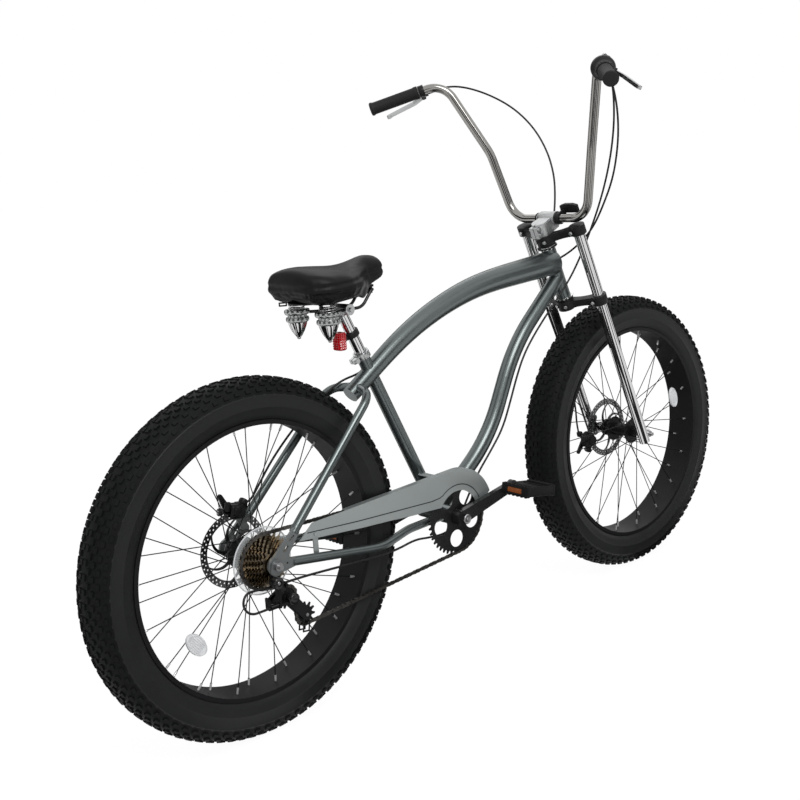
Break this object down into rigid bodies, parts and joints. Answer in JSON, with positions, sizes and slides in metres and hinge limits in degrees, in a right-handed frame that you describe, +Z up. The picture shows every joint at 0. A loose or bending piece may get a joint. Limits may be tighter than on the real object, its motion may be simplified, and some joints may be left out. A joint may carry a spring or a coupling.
{
  "type": "fat tyre cruiser bicycle",
  "caption": "Cruiser bicycle with fat tyres, curved steel frame, double crown fork, tall swept handlebar, sprung saddle, chain guard, derailleur gears and disc brakes.",
  "frame": {"origin": "on the ground, half way between the wheel axles, in the bicycle's middle plane", "axes": "+X forward, +Y to the rider's left, +Z up"},
  "size_m": [1.986, 0.8326, 1.3596],
  "materials": {
    "frame_paint": "satin grey-green enamel",
    "chrome_plate": "polished",
    "silver_alloy": "polished alloy",
    "black_metal": "gloss black",
    "black_alloy": "black anodised",
    "spoke_steel": "black spokes",
    "bare_steel": "plain steel",
    "sprocket_steel": "browned steel",
    "chain_steel": "oiled dark steel",
    "spring_steel": "black spring wire",
    "tyre_rubber": "matt black",
    "grip_rubber": "matt black",
    "saddle_cover": "smooth black vinyl",
    "black_plastic": "moulded",
    "cable_sheath": "black sheath",
    "red_lens": "red lens"
  },
  "bodies": {
    "frame": {"head_tube": "frame_paint", "top_tube": "frame_paint", "down_tube": "frame_paint", "seat_tube": "frame_paint", "bottom_bracket_shell": "frame_paint", "chain_stays": "frame_paint", "seat_stays": "frame_paint", "dropouts": "frame_paint", "bearing_cups": "silver_alloy", "chain_guard": "frame_paint", "seat_clamp": "silver_alloy", "rear_axle": "bare_steel", "rear_brake_caliper": "black_metal", "derailleur_mount": "black_metal", "frame_cables": "cable_sheath", "chain": "chain_steel"},
    "seat": {"seatpost": "chrome_plate", "saddle_clamp": "silver_alloy", "saddle_rails": "black_metal", "saddle_spring_cones": "chrome_plate", "saddle_springs": "spring_steel", "tail_light": "red_lens"},
    "saddle_top": {"saddle_base": "black_plastic", "saddle_cushion": "saddle_cover"},
    "steering": {"steerer_tube": "black_metal", "fork_crowns": "black_alloy", "fork_legs": "chrome_plate", "stem": "silver_alloy", "handlebar": "chrome_plate", "grips": "grip_rubber", "lever_brackets": "black_metal", "front_reflector": "black_plastic", "front_axle": "bare_steel", "front_brake_caliper": "black_metal", "front_brake_cable": "cable_sheath"},
    "left_lever": {"left_brake_lever": "black_metal"},
    "right_lever": {"right_brake_lever": "black_metal"},
    "shifter": {"shifter_drum": "grip_rubber"},
    "front_wheel": {"front_tyre": "tyre_rubber", "front_rim": "black_alloy", "front_spokes": "spoke_steel", "front_hub": "black_alloy", "front_rotor": "bare_steel"},
    "rear_wheel": {"rear_tyre": "tyre_rubber", "rear_rim": "black_alloy", "rear_spokes": "spoke_steel", "rear_hub": "black_alloy", "rear_rotor": "bare_steel"},
    "cassette": {"freewheel": "sprocket_steel"},
    "crank": {"chainring": "black_metal", "crank_arms": "black_metal"},
    "pedal_right": {"right_pedal": "black_plastic"},
    "pedal_left": {"left_pedal": "black_plastic"},
    "link": {"derailleur_link": "black_metal"},
    "knuckle": {"derailleur_knuckle": "black_metal"},
    "cage": {"derailleur_cage": "black_metal"},
    "guide_wheel": {"guide_pulley": "black_plastic"},
    "tension_wheel": {"tension_pulley": "black_plastic"},
    "front_arm": {"front_caliper_arm": "black_metal"},
    "rear_arm": {"rear_caliper_arm": "black_metal"}
  },
  "joints": [
    {"name": "steering", "type": "hinge", "parent": "frame", "child": "steering", "pos_m": [0.55866, 0, 0.372], "axis": [-0.3665, 0, 0.9304], "range_deg": [-45, 45], "deforming": ["frame_cables"]},
    {"name": "front_wheel_spin", "type": "hinge", "parent": "steering", "child": "front_wheel", "pos_m": [0.621, 0, 0.372], "axis": [0, 1, 0], "continuous": true},
    {"name": "rear_wheel_spin", "type": "hinge", "parent": "frame", "child": "rear_wheel", "pos_m": [-0.621, 0, 0.372], "axis": [0, 1, 0], "continuous": true, "deforming": ["chain"]},
    {"name": "crank_spin", "type": "hinge", "parent": "frame", "child": "crank", "pos_m": [-0.096, 0, 0.328], "axis": [0, 1, 0], "continuous": true, "deforming": ["chain"]},
    {"name": "freewheel_spin", "type": "hinge", "parent": "frame", "child": "cassette", "pos_m": [-0.621, 0, 0.372], "axis": [0, 1, 0], "continuous": true, "deforming": ["chain"]},
    {"name": "right_pedal_spin", "type": "hinge", "parent": "crank", "child": "pedal_right", "pos_m": [0.0641, 0, 0.36792], "axis": [0, 1, 0], "continuous": true},
    {"name": "left_pedal_spin", "type": "hinge", "parent": "crank", "child": "pedal_left", "pos_m": [-0.2561, 0, 0.28808], "axis": [0, 1, 0], "continuous": true},
    {"name": "left_brake_squeeze", "type": "hinge", "parent": "steering", "child": "left_lever", "pos_m": [0.24513, 0.31318, 1.3158], "axis": [0.1315, 0.4657, 0.8751], "range_deg": [0, 18], "stiffness_Nm_per_rad": 1, "springref_deg": -17.19},
    {"name": "right_brake_squeeze", "type": "hinge", "parent": "steering", "child": "right_lever", "pos_m": [0.24513, -0.31318, 1.3158], "axis": [-0.1315, 0.4657, -0.8751], "range_deg": [0, 18], "stiffness_Nm_per_rad": 1, "springref_deg": -17.19},
    {"name": "front_caliper_pull", "type": "hinge", "parent": "steering", "child": "front_arm", "pos_m": [0.54337, 0.077, 0.3444], "axis": [0, 1, 0], "range_deg": [0, 24]},
    {"name": "rear_caliper_pull", "type": "hinge", "parent": "frame", "child": "rear_arm", "pos_m": [-0.61464, 0.081, 0.45414], "axis": [0, 1, 0], "range_deg": [0, 24]},
    {"name": "shifter_twist", "type": "hinge", "parent": "steering", "child": "shifter", "pos_m": [0.12996, -0.392, 1.29116], "axis": [-0.6741, -0.6893, -0.2655], "range_deg": [0, 75], "deforming": ["chain", "frame_cables"]},
    {"name": "derailleur_swing", "type": "hinge", "parent": "frame", "child": "link", "pos_m": [-0.623, -0.104, 0.326], "axis": [-1, 0, 0], "range_deg": [0, 41], "deforming": ["chain", "frame_cables"]},
    {"name": "derailleur_level", "type": "hinge", "parent": "link", "child": "knuckle", "pos_m": [-0.623, -0.068, 0.29579], "axis": [1, 0, 0], "range_deg": [0, 41], "deforming": ["chain", "frame_cables"]},
    {"name": "cage_tension", "type": "hinge", "parent": "knuckle", "child": "cage", "pos_m": [-0.575, -0.05, 0.284], "axis": [0, 1, 0], "range_deg": [-15, 30], "stiffness_Nm_per_rad": 1.5, "deforming": ["chain"]},
    {"name": "guide_pulley_spin", "type": "hinge", "parent": "cage", "child": "guide_wheel", "pos_m": [-0.575, -0.05, 0.284], "axis": [0, 1, 0], "continuous": true, "deforming": ["chain"]},
    {"name": "tension_pulley_spin", "type": "hinge", "parent": "cage", "child": "tension_wheel", "pos_m": [-0.534, -0.05, 0.233], "axis": [0, 1, 0], "continuous": true, "deforming": ["chain"]},
    {"name": "seatpost_height", "type": "slide", "parent": "frame", "child": "seat", "axis": [-0.4258, 0, 0.9048], "range_m": [-0.02, 0.07]},
    {"name": "saddle_rock", "type": "hinge", "parent": "seat", "child": "saddle_top", "pos_m": [-0.262, 0, 0.878], "axis": [0, -1, 0], "range_deg": [0, 2.5], "stiffness_Nm_per_rad": 1300, "deforming": ["saddle_springs"]}
  ],
  "couplings": [
    {"joint": "freewheel_spin", "follows": "crank_spin", "ratio": 1.5},
    {"joint": "guide_pulley_spin", "follows": "crank_spin", "ratio": -3.8182},
    {"joint": "tension_pulley_spin", "follows": "crank_spin", "ratio": 3.8182},
    {"joint": "front_caliper_pull", "follows": "left_brake_squeeze", "ratio": 1.3333},
    {"joint": "rear_caliper_pull", "follows": "right_brake_squeeze", "ratio": 1.3333},
    {"joint": "derailleur_swing", "follows": "shifter_twist", "ratio": 0.5466},
    {"joint": "derailleur_level", "follows": "shifter_twist", "ratio": 0.5466}
  ]
}
